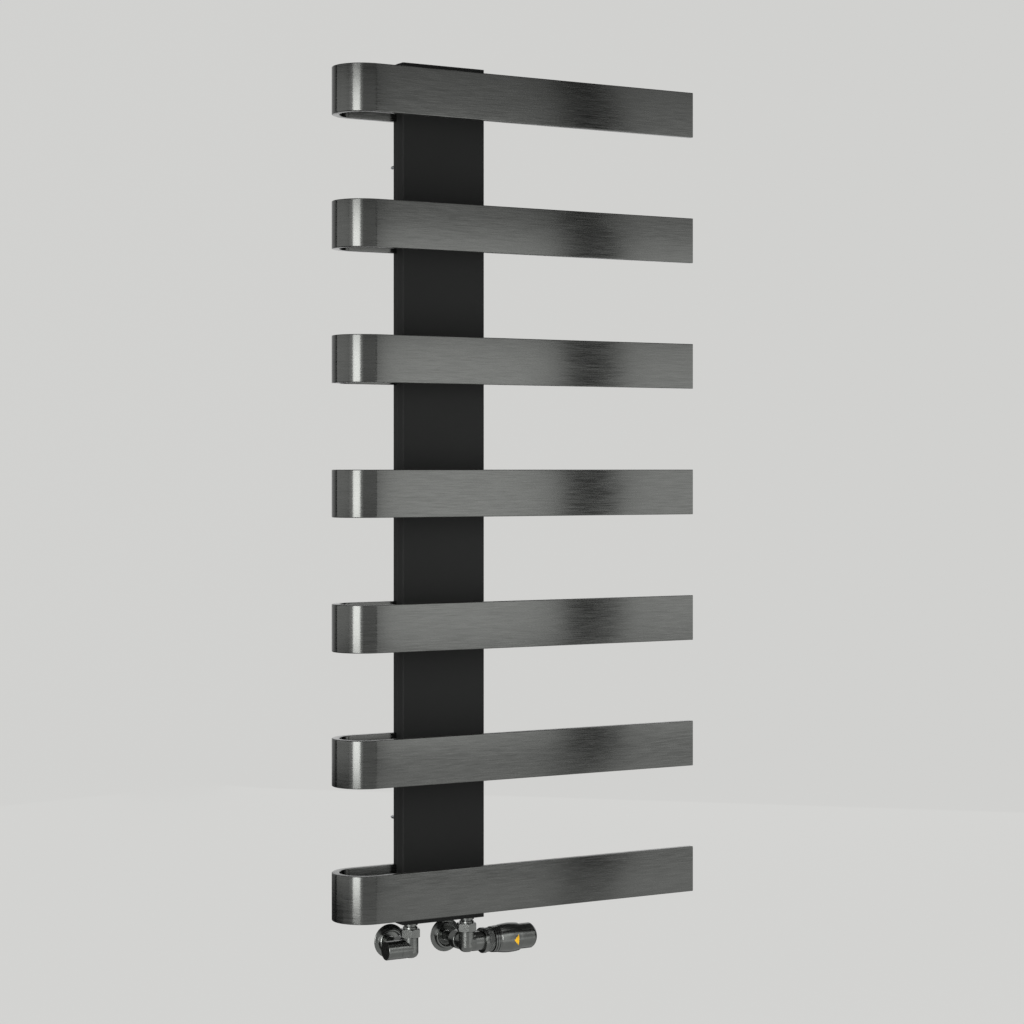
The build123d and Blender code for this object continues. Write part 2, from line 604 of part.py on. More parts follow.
def build_thermostatic(x):
    """Body, insert, pin with its washer, collar nut, head base, handle, setting mark and sensor."""
    seat = Pos(x, SEAM_Y, AXIS_Z)
    body = corner_body(ARM_RADIUS, ARM_END, INSERT_RADIUS)
    body += rod_x(COLLAR_THREAD, ARM_END, BODY_THREAD_END) - rod_x(INSERT_RADIUS, ARM_END, BODY_THREAD_END)
    insert = rod_x(INSERT_RADIUS, *INSERT) - rod_x(PIN_RADIUS + FIT, *INSERT)
    pin_start, pin_end = PIN
    flange_radius, flange = PIN_FLANGE
    washer_radius, washer_thickness = WASHER
    pin = rod_x(PIN_RADIUS, pin_start, pin_end) + rod_x(flange_radius, pin_start, pin_start + flange)
    washer = rod_x(washer_radius, pin_start - washer_thickness, pin_start)
    sensor = rod_x(*SENSOR) + rod_x(SENSOR_STEM_RADIUS, pin_end, SENSOR[1])
    sensor = fillet(sensor.edges().filter_by(GeomType.CIRCLE).sort_by(Axis.X)[-1], SENSOR_ROUND)
    start = HANDLE[0]
    envelope = handle_envelope()
    mark = marker_prism()
    handle = envelope - rod_x(HANDLE_BORE, start, HANDLE_BORE_END) - mark
    save("thermostatic_body", seat * body)
    save("thermostatic_insert", seat * insert)
    save("valve_pin", seat * pin)
    save("valve_washer", seat * washer)
    save("sensor_capsule", seat * sensor)
    save("head_collar_nut", seat * collar_nut())
    save("head_base", seat * head_base())
    save("head_handle", seat * handle)
    save("setting_mark", seat * (envelope & mark))


# ---- whole object -------------------------------------------------------------------------------
def build_bars():
    """The seven bars and their end caps, numbered from the top."""
    tube = j_solid(0) - j_solid(BAR_WALL)
    cap = end_cap()
    for number, z in enumerate(bar_heights(), start=1):
        save(f"bar_{number}", placed(tube, z=z))
        save(f"bar_end_cap_{number}", placed(cap, z=z))


def build_shared_rings():
    """Both union seals and both olives, each pair in one node."""
    ports = [(-PORT_SPACING / 2, SEAM_Y, AXIS_Z), (PORT_SPACING / 2, SEAM_Y, AXIS_Z)]
    save("union_seals", Compound([placed(union_seal(), *port) for port in ports]))
    save("pipe_olives", Compound([placed(pipe_olive(), *port) for port in ports]))


def main():
    """Write every sub-part."""
    os.makedirs("parts", exist_ok=True)
    build_bars()
    build_column()
    build_vent()
    build_fixings()
    build_valve_ends("return", -PORT_SPACING / 2)
    build_valve_ends("supply", PORT_SPACING / 2)
    build_shared_rings()
    build_lockshield(-PORT_SPACING / 2)
    build_thermostatic(PORT_SPACING / 2)


main()
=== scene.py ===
"""Looks of a wall-hung towel radiator: brushed gunmetal bars, a black column and two plated corner valves.

Every piece is placed from the engineering frame's own boxes. Lengths are in metres unless a name ends in _mm.
"""
import logging
import math
from dataclasses import dataclass
from enum import Enum
from typing import Callable, Sequence

import bmesh
import bpy
from mathutils import Matrix, Vector


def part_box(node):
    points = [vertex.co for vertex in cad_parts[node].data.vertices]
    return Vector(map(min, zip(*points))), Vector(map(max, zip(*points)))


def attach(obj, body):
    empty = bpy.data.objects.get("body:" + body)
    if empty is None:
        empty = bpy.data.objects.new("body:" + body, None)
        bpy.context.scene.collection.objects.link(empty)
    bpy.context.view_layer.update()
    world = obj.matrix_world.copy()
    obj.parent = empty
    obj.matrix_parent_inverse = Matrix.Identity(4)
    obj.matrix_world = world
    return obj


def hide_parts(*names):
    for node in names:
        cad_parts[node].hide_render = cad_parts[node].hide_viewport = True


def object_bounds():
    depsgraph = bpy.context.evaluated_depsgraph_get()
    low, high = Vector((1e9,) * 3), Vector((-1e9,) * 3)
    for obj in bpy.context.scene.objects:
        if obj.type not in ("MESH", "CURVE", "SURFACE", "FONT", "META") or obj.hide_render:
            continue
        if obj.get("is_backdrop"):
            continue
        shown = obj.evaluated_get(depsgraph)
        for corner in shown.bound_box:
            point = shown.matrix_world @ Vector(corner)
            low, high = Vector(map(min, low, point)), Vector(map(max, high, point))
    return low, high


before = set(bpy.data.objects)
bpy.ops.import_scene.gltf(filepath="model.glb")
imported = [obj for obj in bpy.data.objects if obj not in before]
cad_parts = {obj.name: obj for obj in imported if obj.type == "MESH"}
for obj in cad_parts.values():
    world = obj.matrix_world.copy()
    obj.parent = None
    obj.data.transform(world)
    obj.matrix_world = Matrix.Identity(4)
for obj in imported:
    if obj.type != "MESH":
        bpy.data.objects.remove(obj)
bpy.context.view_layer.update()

MM = 0.001
PER_METRE = 1000.0        # a pattern of so many millimetres repeats this much divided by them in a metre
STEP_MM = 0.02            # two rows of points this close make a square step in a turned outside
STRAIGHT = 0.3            # a corner that turns by less than this many radians is left alone
CORNER_SHARE = 0.45       # the most of a short side that the round at its end may take
log = logging.getLogger("towel_radiator")

Point = tuple[float, float]


# ---- colour and nodes ---------------------------------------------------------------------------
def linear(hex_colour: str) -> tuple[float, float, float, float]:
    """Turn an sRGB hex colour into linear light.

    Args:
        hex_colour: six hex digits with a leading hash.

    Returns:
        Red, green, blue and alpha, linear.
    """
    parts = [int(hex_colour[i:i + 2], 16) / 255 for i in (1, 3, 5)]
    light = [c / 12.92 if c <= 0.04045 else ((c + 0.055) / 1.055) ** 2.4 for c in parts]
    return (light[0], light[1], light[2], 1.0)


def add_node(tree: bpy.types.NodeTree, kind: str, settings: dict | None = None,
             links: dict | None = None) -> bpy.types.Node:
    """Add one shader node with its settings and its incoming links.

    Args:
        tree: the material's or world's node tree.
        kind: the node's type name without the ShaderNode prefix.
        settings: attribute names, or input names or numbers, with the values they get.
        links: input names or numbers, with the output socket that feeds each.

    Returns:
        The new node.
    """
    node = tree.nodes.new("ShaderNode" + kind)
    for key, value in (settings or {}).items():
        if isinstance(key, str) and hasattr(node, key):
            setattr(node, key, value)
        else:
            node.inputs[key].default_value = value
    for key, socket in (links or {}).items():
        tree.links.new(socket, node.inputs[key])
    return node


def new_material(name: str) -> tuple[bpy.types.Material, bpy.types.NodeTree]:
    """Start a node material with an empty tree.

    Args:
        name: the finish's name.

    Returns:
        The material and its node tree.
    """
    material = bpy.data.materials.new(name)
    material.use_nodes = True
    material.node_tree.nodes.clear()
    return material, material.node_tree


# ---- finishes -----------------------------------------------------------------------------------
@dataclass(frozen=True)
class BrushedGunmetal:
    """Steel tube, belt-brushed along its length, then plated and lacquered dark gunmetal.

    The brushing spreads every reflection up and down, so lights show as upright bands.
    """

    name: str = "brushed_gunmetal_steel"
    dark_hex: str = "#555654"
    light_hex: str = "#686967"
    roughness: float = 0.24
    anisotropy: float = 0.90
    streak_mm: float = 1.0        # hairlines are about 0.2 mm; drawn coarser so that they show
    streak_length_mm: float = 34.0
    depth_mm: float = 0.006
    spread_turn: float = 0.25     # a quarter turn from the brushing's own direction

    def material(self) -> bpy.types.Material:
        """Build the material.

        Returns:
            The finish, with hairlines in its colour, roughness and relief.
        """
        material, tree = new_material(self.name)
        place = add_node(tree, "TexCoord")
        across = PER_METRE / self.streak_mm
        along = PER_METRE / self.streak_length_mm
        stretch = add_node(tree, "Mapping", {"Scale": (along, along, across)},
                           {"Vector": place.outputs["Object"]})
        hairs = add_node(tree, "TexNoise", {"Scale": 1.0, "Detail": 5.0, "Roughness": 0.65},
                         {"Vector": stretch.outputs["Vector"]})
        share = add_node(tree, "MapRange", {"From Min": 0.34, "From Max": 0.66},
                         {"Value": hairs.outputs["Fac"]})
        paint = add_node(tree, "Mix",
                         {"data_type": "RGBA", 6: linear(self.dark_hex), 7: linear(self.light_hex)},
                         {0: share.outputs["Result"]})
        rough = add_node(tree, "MapRange",
                         {"From Min": 0.3, "From Max": 0.7,
                          "To Min": self.roughness - 0.05, "To Max": self.roughness + 0.07},
                         {"Value": hairs.outputs["Fac"]})
        bump = add_node(tree, "Bump", {"Strength": 0.35, "Distance": self.depth_mm * MM},
                        {"Height": hairs.outputs["Fac"]})
        grain = add_node(tree, "Tangent", {"direction_type": "RADIAL", "axis": "Z"})
        shader = add_node(tree, "BsdfPrincipled",
                          {"Metallic": 1.0, "Anisotropic": self.anisotropy,
                           "Anisotropic Rotation": self.spread_turn},
                          {"Base Color": paint.outputs[2], "Roughness": rough.outputs["Result"],
                           "Normal": bump.outputs["Normal"], "Tangent": grain.outputs["Tangent"]})
        add_node(tree, "OutputMaterial", None, {"Surface": shader.outputs["BSDF"]})
        return material


@dataclass(frozen=True)
class PowderCoat:
    """Polyester powder sprayed dry and baked on steel: matt, with a fine orange-peel skin."""

    name: str = "matt_black_powder_coat"
    dark_hex: str = "#080908"
    light_hex: str = "#0c0e0c"
    roughness: float = 0.72
    sheen_level: float = 0.35     # matting agents in the powder dull its surface reflection
    peel_mm: float = 1.6
    depth_mm: float = 0.03
    clouds_per_metre: float = 14.0

    def material(self) -> bpy.types.Material:
        """Build the material.

        Returns:
            The finish, with faint clouds in its colour and an orange-peel relief.
        """
        material, tree = new_material(self.name)
        place = add_node(tree, "TexCoord")
        peel = add_node(tree, "TexNoise", {"Scale": PER_METRE / self.peel_mm, "Detail": 3.0},
                        {"Vector": place.outputs["Object"]})
        cloud = add_node(tree, "TexNoise", {"Scale": self.clouds_per_metre, "Detail": 2.0},
                         {"Vector": place.outputs["Object"]})
        paint = add_node(tree, "Mix",
                         {"data_type": "RGBA", 6: linear(self.dark_hex), 7: linear(self.light_hex)},
                         {0: cloud.outputs["Fac"]})
        rough = add_node(tree, "MapRange", {"To Min": self.roughness - 0.06, "To Max": self.roughness + 0.08},
                         {"Value": peel.outputs["Fac"]})
        bump = add_node(tree, "Bump", {"Strength": 0.4, "Distance": self.depth_mm * MM},
                        {"Height": peel.outputs["Fac"]})
        shader = add_node(tree, "BsdfPrincipled", {"IOR": 1.5, "Specular IOR Level": self.sheen_level},
                          {"Base Color": paint.outputs[2], "Roughness": rough.outputs["Result"],
                           "Normal": bump.outputs["Normal"]})
        add_node(tree, "OutputMaterial", None, {"Surface": shader.outputs["BSDF"]})
        return material


@dataclass(frozen=True)
class SatinMetal:
    """A metal skin, plated, zinc-coated or turned: soft blotches of tone and a fine grain."""

    name: str
    dark_hex: str
    light_hex: str
    roughness: float
    blotch_mm: float = 9.0
    grain_mm: float = 0.8
    depth_mm: float = 0.008

    def material(self) -> bpy.types.Material:
        """Build the material.

        Returns:
            The finish, with blotches in its colour and the grain in its roughness and relief.
        """
        material, tree = new_material(self.name)
        place = add_node(tree, "TexCoord")
        blotch = add_node(tree, "TexNoise", {"Scale": PER_METRE / self.blotch_mm, "Detail": 2.0},
                          {"Vector": place.outputs["Object"]})
        grain = add_node(tree, "TexNoise", {"Scale": PER_METRE / self.grain_mm, "Detail": 4.0},
                         {"Vector": place.outputs["Object"]})
        paint = add_node(tree, "Mix",
                         {"data_type": "RGBA", 6: linear(self.dark_hex), 7: linear(self.light_hex)},
                         {0: blotch.outputs["Fac"]})
        rough = add_node(tree, "MapRange", {"To Min": self.roughness - 0.04, "To Max": self.roughness + 0.07},
                         {"Value": grain.outputs["Fac"]})
        bump = add_node(tree, "Bump", {"Strength": 0.3, "Distance": self.depth_mm * MM},
                        {"Height": grain.outputs["Fac"]})
        shader = add_node(tree, "BsdfPrincipled", {"Metallic": 1.0},
                          {"Base Color": paint.outputs[2], "Roughness": rough.outputs["Result"],
                           "Normal": bump.outputs["Normal"]})
        add_node(tree, "OutputMaterial", None, {"Surface": shader.outputs["BSDF"]})
        return material


@dataclass(frozen=True)
class Moulded:
    """Moulded plastic or rubber: one colour with slight flow clouds and a fine spark-eroded texture."""

    name: str
    dark_hex: str
    light_hex: str
    roughness: float
    ior: float
    texture_mm: float = 0.7
    depth_mm: float = 0.01
    clouds_per_metre: float = 60.0

    def material(self) -> bpy.types.Material:
        """Build the material.

        Returns:
            The finish, with flow clouds in its colour and the tool's texture as relief.
        """
        material, tree = new_material(self.name)
        place = add_node(tree, "TexCoord")
        cloud = add_node(tree, "TexNoise", {"Scale": self.clouds_per_metre, "Detail": 2.0},
                         {"Vector": place.outputs["Object"]})
        spark = add_node(tree, "TexNoise", {"Scale": PER_METRE / self.texture_mm, "Detail": 2.0},
                         {"Vector": place.outputs["Object"]})
        paint = add_node(tree, "Mix",
                         {"data_type": "RGBA", 6: linear(self.dark_hex), 7: linear(self.light_hex)},
                         {0: cloud.outputs["Fac"]})
        bump = add_node(tree, "Bump", {"Strength": 0.3, "Distance": self.depth_mm * MM},
                        {"Height": spark.outputs["Fac"]})
        shader = add_node(tree, "BsdfPrincipled", {"IOR": self.ior, "Roughness": self.roughness},
                          {"Base Color": paint.outputs[2], "Normal": bump.outputs["Normal"]})
        add_node(tree, "OutputMaterial", None, {"Surface": shader.outputs["BSDF"]})
        return material


class Slot(Enum):
    """The record's material slots."""

    BARS = "brushed_gunmetal"
    COLUMN = "column_black"
    STEEL = "plain_steel"
    BUSH = "bush_black"
    ZINC = "zinc_steel"
    PLATE = "gunmetal_plate"
    BRASS = "brass"
    RUBBER = "seal_rubber"
    SENSOR = "sensor_plastic"
    MARK = "mark_yellow"


FINISHES: dict[Slot, BrushedGunmetal | PowderCoat | SatinMetal | Moulded] = {
    # Brushed steel tube under a dark plate: level hairlines that draw each light into an upright band.
    Slot.BARS: BrushedGunmetal(),
    # Pressed steel, powder coated: matt black with hardly any reflection.
    Slot.COLUMN: PowderCoat(),
    # Mill-finish steel strip, seen only inside: grey and half dull.
    Slot.STEEL: SatinMetal("mill_finish_steel", "#8b8c8e", "#a9aaab", roughness=0.42, grain_mm=1.2),
    # Zinc die-cast bush, stove-lacquered black: smoother than the powder coat.
    Slot.BUSH: PowderCoat("satin_black_lacquer", "#101111", "#191a1a", roughness=0.36, sheen_level=0.5,
                          peel_mm=2.4, depth_mm=0.015),
    # Carbon steel, bright zinc electroplate: pale, faintly blue, cloudy.
    Slot.ZINC: SatinMetal("bright_zinc_plate", "#b4b8bd", "#d3d6d9", roughness=0.28, blotch_mm=4.0),
    # Turned brass under a dark nickel plate: smooth and dark, with small bright highlights.
    Slot.PLATE: SatinMetal("satin_gunmetal_plate", "#686a68", "#7b7d7a", roughness=0.24),
    # Free-cutting brass, turned and left bare: warm yellow with tool grain.
    Slot.BRASS: SatinMetal("turned_brass", "#b08d4a", "#cdaa63", roughness=0.27, grain_mm=0.5),
    # EPDM rubber, moulded: near black and dull.
    Slot.RUBBER: Moulded("epdm_rubber", "#101010", "#1b1b1b", roughness=0.72, ior=1.52),
    # ABS, moulded and off-white: soft even sheen.
    Slot.SENSOR: Moulded("abs_off_white", "#cfcdc4", "#dddbd3", roughness=0.42, ior=1.54),
    # Acetal insert, moulded yellow: bright and slightly glossy.
    Slot.MARK: Moulded("acetal_yellow", "#f2b705", "#ffc814", roughness=0.3, ior=1.48),
}
MATERIALS: dict[Slot, bpy.types.Material] = {}


def finish_of(slot: Slot) -> bpy.types.Material:
    """The material of a slot, built the first time it is asked for.

    Args:
        slot: the material slot.

    Returns:
        The slot's one material.
    """
    if slot not in MATERIALS:
        MATERIALS[slot] = FINISHES[slot].material()
    return MATERIALS[slot]


# ---- mesh making --------------------------------------------------------------------------------
class Along(Enum):
    """The direction a turned piece points in: the turn in degrees, and its axis, that take +Z there."""

    PLUS_X = (90.0, "Y")
    PLUS_Y = (-90.0, "X")
    PLUS_Z = (0.0, "Z")

    def matrix(self) -> Matrix:
        """Rotation that takes +Z to this direction."""
        turn_deg, axis = self.value
        return Matrix.Rotation(math.radians(turn_deg), 4, axis)


def ring_mesh(name: str, rings: Sequence[Sequence[Vector]], closed: bool = False) -> bpy.types.Object:
    """Join rings of points into one closed skin.

    Args:
        name: the piece's name.
        rings: rings of equal length, in order along the piece.
        closed: join the last ring to the first, as on a hollow ring; otherwise both ends get a flat face.

    Returns:
        The new object, smooth-shaded except at sharp edges.
    """
    bm = bmesh.new()
    rows = [[bm.verts.new(point) for point in ring] for ring in rings]
    count = len(rows[0])
    pairs = list(zip(rows, rows[1:])) + ([(rows[-1], rows[0])] if closed else [])
    for first, second in pairs:
        for i in range(count):
            j = (i + 1) % count
            bm.faces.new((first[i], first[j], second[j], second[i]))
    if not closed:
        bm.faces.new(list(reversed(rows[0])))
        bm.faces.new(rows[-1])
    bmesh.ops.recalc_face_normals(bm, faces=bm.faces)
    return shaded(name, bm)


def shaded(name: str, bm: bmesh.types.BMesh, sharp_deg: float = 32.0) -> bpy.types.Object:
    """Turn a bmesh into an object with smooth faces and sharp corners.

    Args:
        name: the piece's name.
        bm: the finished bmesh, which is freed.
        sharp_deg: an edge that bends more than this stays sharp.

    Returns:
        The new object, linked to the scene.
    """
    for face in bm.faces:
        face.smooth = True
    for edge in bm.edges:
        if len(edge.link_faces) == 2 and edge.calc_face_angle(0.0) > math.radians(sharp_deg):
            edge.smooth = False
    mesh = bpy.data.meshes.new(name)
    bm.to_mesh(mesh)
    bm.free()
    obj = bpy.data.objects.new(name, mesh)
    bpy.context.scene.collection.objects.link(obj)
    return obj


def eased(profile: Sequence[Point], radius_mm: float = 0.35, steps: int = 3) -> list[Point]:
    """Round the corners of a closed profile with small arcs.

    Args:
        profile: the corners, in millimetres.
        radius_mm: how far from each corner the round starts, at most.
        steps: segments in each round.

    Returns:
        The rounded profile.
    """
    result: list[Point] = []
    count = len(profile)
    for i in range(count):
        before, here, after = Vector(profile[i - 1]), Vector(profile[i]), Vector(profile[(i + 1) % count])
        back, forth = before - here, after - here
        if min(back.length, forth.length) < 1e-6 or abs(back.angle(forth) - math.pi) < STRAIGHT:
            result.append(tuple(here))
            continue
        reach = min(radius_mm, back.length * CORNER_SHARE, forth.length * CORNER_SHARE)
        start, end = here + back.normalized() * reach, here + forth.normalized() * reach
        for k in range(steps + 1):
            t = k / steps
            result.append(tuple(start * (1 - t) ** 2 + here * 2 * t * (1 - t) + end * t ** 2))
    return result


def turned(name: str, profile_mm: Sequence[Point], origin: Vector, along: Along,
           segments: int) -> bpy.types.Object:
    """A hollow turned piece from its closed section.

    Args:
        name: the piece's name.
        profile_mm: (distance along, radius) corners of the section, in millimetres.
        origin: where distance zero lies.
        along: the axis it is turned about.
        segments: facets round the axis.

    Returns:
        The new object, with every corner of its section eased.
    """
    section = eased(profile_mm)
    turn = Matrix.Translation(origin) @ along.matrix()
    rings = []
    for k in range(segments):
        angle = 2 * math.pi * k / segments
        c, s = math.cos(angle), math.sin(angle)
        rings.append([turn @ Vector((r * c * MM, r * s * MM, z * MM)) for z, r in section])
    return ring_mesh(name, rings, closed=True)


def shaped_ring(name: str, origin: Vector, along: Along, levels_mm: Sequence[float],
                bore_mm: Sequence[Point], radius_at: Callable[[float, float], float],
                segments: int) -> bpy.types.Object:
    """A ring whose outside radius changes with height and angle, such as a nut or a knurled grip.

    Args:
        name: the piece's name.
        origin: where height zero lies.
        along: the axis.
        levels_mm: the heights of the rows of points, in order.
        bore_mm: (height, radius) corners of the bore, from the far end back to the near end.
        radius_at: the outside radius in millimetres at a height and an angle.
        segments: points round each row.

    Returns:
        The new object.
    """
    turn = Matrix.Translation(origin) @ along.matrix()
    rings = []
    for k in range(segments):
        angle = 2 * math.pi * k / segments
        c, s = math.cos(angle) * MM, math.sin(angle) * MM
        section = [(z, radius_at(z, angle)) for z in levels_mm] + list(bore_mm)
        rings.append([turn @ Vector((r * c, r * s, z * MM)) for z, r in section])
    return ring_mesh(name, rings, closed=True)


@dataclass(frozen=True)
class UnionNutShape:
    """Outside of the union nut: a hexagon with coned corners, then a round shoulder."""

    flats_mm: float = 27.0
    low_mm: float = 17.0
    high_mm: float = 29.6
    shoulder_mm: float = 10.8
    top_mm: float = 33.2
    lip_mm: float = 0.8
    turn_deg: float = 12.0
    cone_start_mm: float = 0.3
    cone_slope: float = 1.6
    cone_rows_mm: tuple[float, ...] = (0, 0.3, 0.6, 0.9, 1.2, 1.6)
    lip_rows_mm: tuple[float, ...] = (0.8, 0.5, 0.2, 0)

    def radius(self, z: float, angle: float) -> float:
        """The outside radius.

        Args:
            z: height above the ports' crossing, in millimetres.
            angle: angle round the axis, in radians.

        Returns:
            The radius in millimetres: the smaller of the flat and the cone, or the shoulder's.
        """
        if z > self.high_mm:
            return self.shoulder_mm - max(0.0, z - self.top_mm + self.lip_mm) ** 2
        sector = (angle - math.radians(self.turn_deg)) % (math.pi / 3) - math.pi / 6
        flat = self.flats_mm / 2 / math.cos(sector)
        depth = min(z - self.low_mm, self.high_mm - z)
        return min(flat, self.flats_mm / 2 + self.cone_start_mm + self.cone_slope * depth)

    def levels(self) -> list[float]:
        """Heights of the rows of points.

        Returns:
            Heights in millimetres, close together at both cones and at the shoulder's lip.
        """
        lower = [self.low_mm + step for step in self.cone_rows_mm]
        upper = [self.high_mm - step for step in reversed(self.cone_rows_mm)]
        lip = [self.top_mm - step for step in self.lip_rows_mm]
        return lower + upper + [self.high_mm + STEP_MM] + lip


@dataclass(frozen=True)
class CollarShape:
    """Outside of the collar nut: a smooth flange, then a crossed knurl."""

    start_mm: float = 24.9
    knurl_mm: float = 31.0
    end_mm: float = 41.5
    flange_mm: float = 19.3
    grip_mm: float = 18.4
    tooth_mm: float = 0.8
    edge_mm: float = 0.8
    teeth: int = 40
    edge_rows: int = 4
    knurl_rows: int = 36

    def radius(self, z: float, angle: float) -> float:
        """The outside radius.

        Args:
            z: distance from the valve's middle, in millimetres.
            angle: angle round the axis, in radians.

        Returns:
            The radius in millimetres: the flange with its rounded edges, or the knurl.
        """
        if z <= self.knurl_mm:
            inward = max(0.0, self.edge_mm - min(z - self.start_mm, self.knurl_mm - z))
            return self.flange_mm - self.edge_mm + math.sqrt(max(0.0, self.edge_mm ** 2 - inward ** 2))
        lead = (z - self.knurl_mm) / self.grip_mm
        pitch = 2 * math.pi / self.teeth
        one, two = (abs(((angle + hand * lead) / pitch) % 1 - 0.5) * 2 for hand in (1, -1))
        bevel = max(0.0, self.edge_mm - min(z - self.knurl_mm, self.end_mm - z))
        return self.grip_mm - self.tooth_mm * max(one, two) ** 2 - bevel

    def levels(self) -> list[float]:
        """Distances of the rows of points.

        Returns:
            Distances in millimetres, close together at the flange's edges and through the knurl.
        """
        rise = [self.edge_mm * step / self.edge_rows for step in range(self.edge_rows + 1)]
        near = [self.start_mm + step for step in rise]
        far = [self.knurl_mm - self.edge_mm + step for step in rise]
        first = self.knurl_mm + STEP_MM
        pitch = (self.end_mm - first) / self.knurl_rows
        return near + far + [first + pitch * i for i in range(self.knurl_rows + 1)]


def arc(centre: Point, radius: float, start_deg: float, end_deg: float, steps: int) -> list[Point]:
    """Points on an arc.

    Args:
        centre: the arc's centre, in the profile's own plane.
        radius: its radius.
        start_deg: where it starts, from the plane's first axis.
        end_deg: where it ends.
        steps: segments in it.

    Returns:
        The points, both ends among them.
    """
    angles = [math.radians(start_deg + (end_deg - start_deg) * i / steps) for i in range(steps + 1)]
    return [(centre[0] + radius * math.cos(a), centre[1] + radius * math.sin(a)) for a in angles]


def fitted(piece: bpy.types.Object, body: str, slot: Slot, *nodes: str) -> None:
    """Dress a new piece and fix it to its body in place of the CAD nodes it stands for.

    Args:
        piece: the new piece.
        body: the moving body it rides on.
        slot: the material slot it takes its finish from.
        nodes: the CAD nodes it replaces.
    """
    piece.data.materials.append(finish_of(slot))
    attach(piece, body)
    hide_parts(*nodes)
    log.info("built %s on %s", piece.name, body)


def dressed(slot: Slot, *nodes: str) -> None:
    """Give CAD nodes whose shape is already right their finish.

    Args:
        slot: the material slot.
        nodes: the CAD nodes.
    """
    for node in nodes:
        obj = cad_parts[node]
        obj.data.materials.clear()
        obj.data.materials.append(finish_of(slot))
        log.info("dressed %s in %s", node, slot.value)


def middle(node: str) -> Vector:
    """The middle of a CAD node's box."""
    low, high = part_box(node)
    return (low + high) / 2


# ---- sub-assemblies -----------------------------------------------------------------------------
@dataclass(frozen=True)
class BarStack:
    """The bent flat tubes with their end plates, each tube and plate as one closed skin."""

    body: str = "radiator"
    thickness_mm: float = 11.0
    corner_mm: float = 1.2
    corner_steps: int = 4
    stub_mm: float = 3.0          # how far the back leg runs into the column
    front_steps: int = 12
    bend_steps: int = 72
    back_steps: int = 3

    def section(self, height: float) -> list[Point]:
        """The tube's rounded outline.

        Args:
            height: the bar's full height.

        Returns:
            (across, up) points round the outline.
        """
        radius = self.corner_mm * MM
        half_a, half_b = self.thickness_mm * MM / 2 - radius, height / 2 - radius
        corners = ((half_a, half_b), (-half_a, half_b), (-half_a, -half_b), (half_a, -half_b))
        points: list[Point] = []
        for corner, start in zip(corners, (0, 90, 180, 270)):
            points += arc(corner, radius, start, start + 90, self.corner_steps)
        return points

    def bar(self, node: str, cap: str) -> bpy.types.Object:
        """One bar: front leg, half-circle bend and back leg.

        Args:
            node: the CAD node of its tube.
            cap: the CAD node of its end plate.

        Returns:
            The bar as one closed skin.
        """
        low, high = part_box(node)
        free_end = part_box(cap)[1].x
        outer = (high.y - low.y) / 2
        centre = Vector((low.x + outer, low.y + outer, (low.z + high.z) / 2))
        neutral = outer - self.thickness_mm * MM / 2
        back_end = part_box("column_rear_shell")[0].x + self.stub_mm * MM
        stations: list[tuple[Vector, Vector]] = []
        for i in range(self.front_steps):
            x = free_end + (centre.x - free_end) * i / self.front_steps
            stations.append((Vector((x, centre.y - neutral, centre.z)), Vector((0, -1, 0))))
        for i in range(self.bend_steps + 1):
            angle = math.pi * i / self.bend_steps
            out = Vector((-math.sin(angle), -math.cos(angle), 0))
            stations.append((centre + out * neutral, out))
        for i in range(1, self.back_steps + 1):
            x = centre.x + (back_end - centre.x) * i / self.back_steps
            stations.append((Vector((x, centre.y + neutral, centre.z)), Vector((0, 1, 0))))
        outline = self.section(high.z - low.z)
        rings = [[spot + out * a + Vector((0, 0, b)) for a, b in outline] for spot, out in stations]
        return ring_mesh(f"{node}_tube", rings)

    def build(self) -> None:
        """Every bar in the frame, with its end plate."""
        for node in sorted(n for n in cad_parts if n.startswith("bar_") and "cap" not in n):
            cap = node.replace("bar_", "bar_end_cap_")
            fitted(self.bar(node, cap), self.body, Slot.BARS, node, cap)


@dataclass(frozen=True)
class Column:
    """The black water column, what is welded to it, and its air vent."""

    coated: tuple[str, ...] = ("column_front_shell", "column_rear_shell", "column_top_plate",
                               "column_bottom_plate", "bracket_pegs")
    inside: tuple[str, ...] = ("flow_divider", "return_boss", "supply_boss", "vent_boss")

    def build(self) -> None:
        """Dress the column's nodes and the vent's."""
        dressed(Slot.COLUMN, *self.coated)
        dressed(Slot.STEEL, *self.inside)
        dressed(Slot.RUBBER, "vent_seal")
        dressed(Slot.PLATE, "vent_plug")
        dressed(Slot.BRASS, "bleed_screw")


@dataclass(frozen=True)
class WallFixings:
    """Bushes with their grub screws, and the wall screws."""

    bush_prefix: str = "wall_bush"
    screws: tuple[str, ...] = ("wall_screws", "grub_screws")

    def build(self) -> None:
        """Dress the fixings."""
        dressed(Slot.BUSH, *[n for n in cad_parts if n.startswith(self.bush_prefix)])
        dressed(Slot.ZINC, *self.screws)


